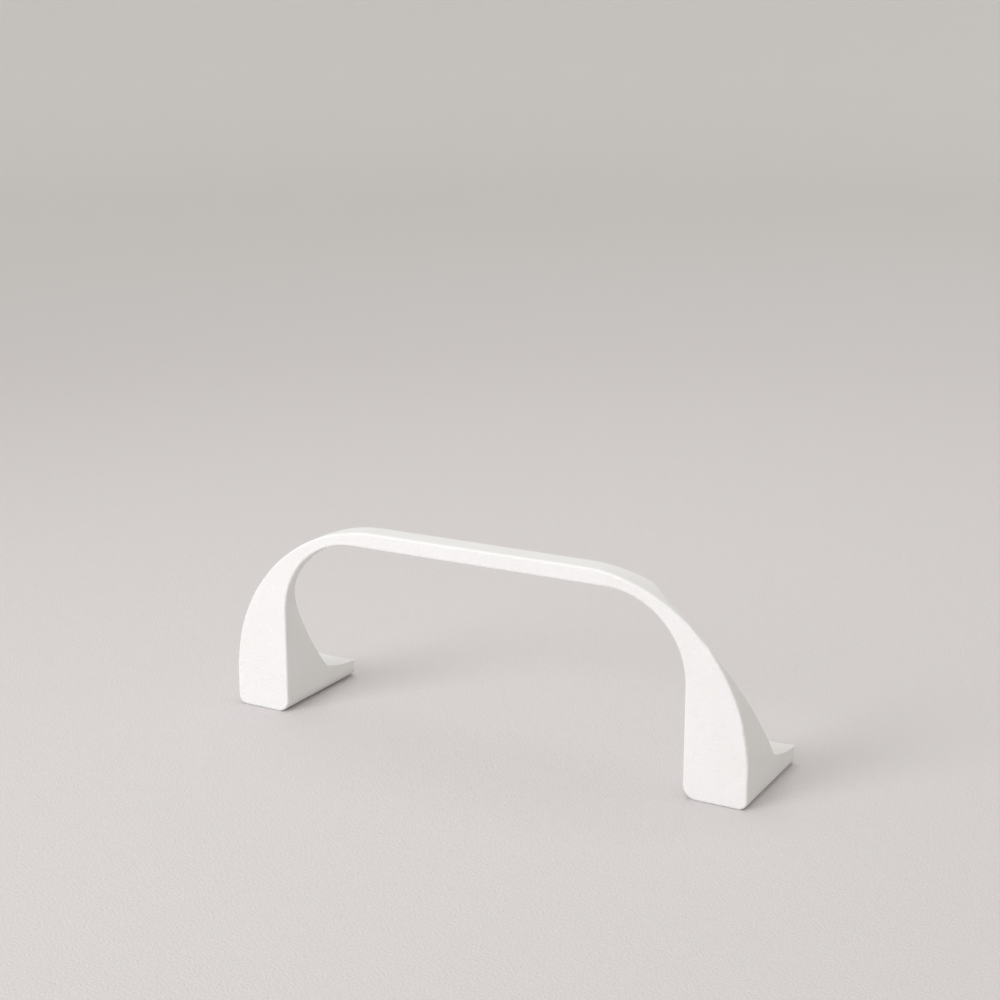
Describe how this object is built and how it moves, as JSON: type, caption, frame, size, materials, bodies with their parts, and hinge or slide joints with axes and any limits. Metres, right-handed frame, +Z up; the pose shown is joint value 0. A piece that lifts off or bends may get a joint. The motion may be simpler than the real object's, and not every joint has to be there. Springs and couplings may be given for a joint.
{
  "type": "game controller stand",
  "caption": "Small white printed desk stand: an arch with a thin bar, whose legs are hollowed behind into round cradles.",
  "frame": {"origin": "on the desk, under the middle of the stand's bounding box", "axes": "+X to the right along the bar, +Y from the flat front face back to the heels, +Z up"},
  "size_m": [0.1286, 0.0296, 0.0467],
  "materials": {
    "white_plastic": "matte, printed, with a finely grained front face"
  },
  "bodies": {
    "root": {"stand": "white_plastic"}
  },
  "joints": []
}
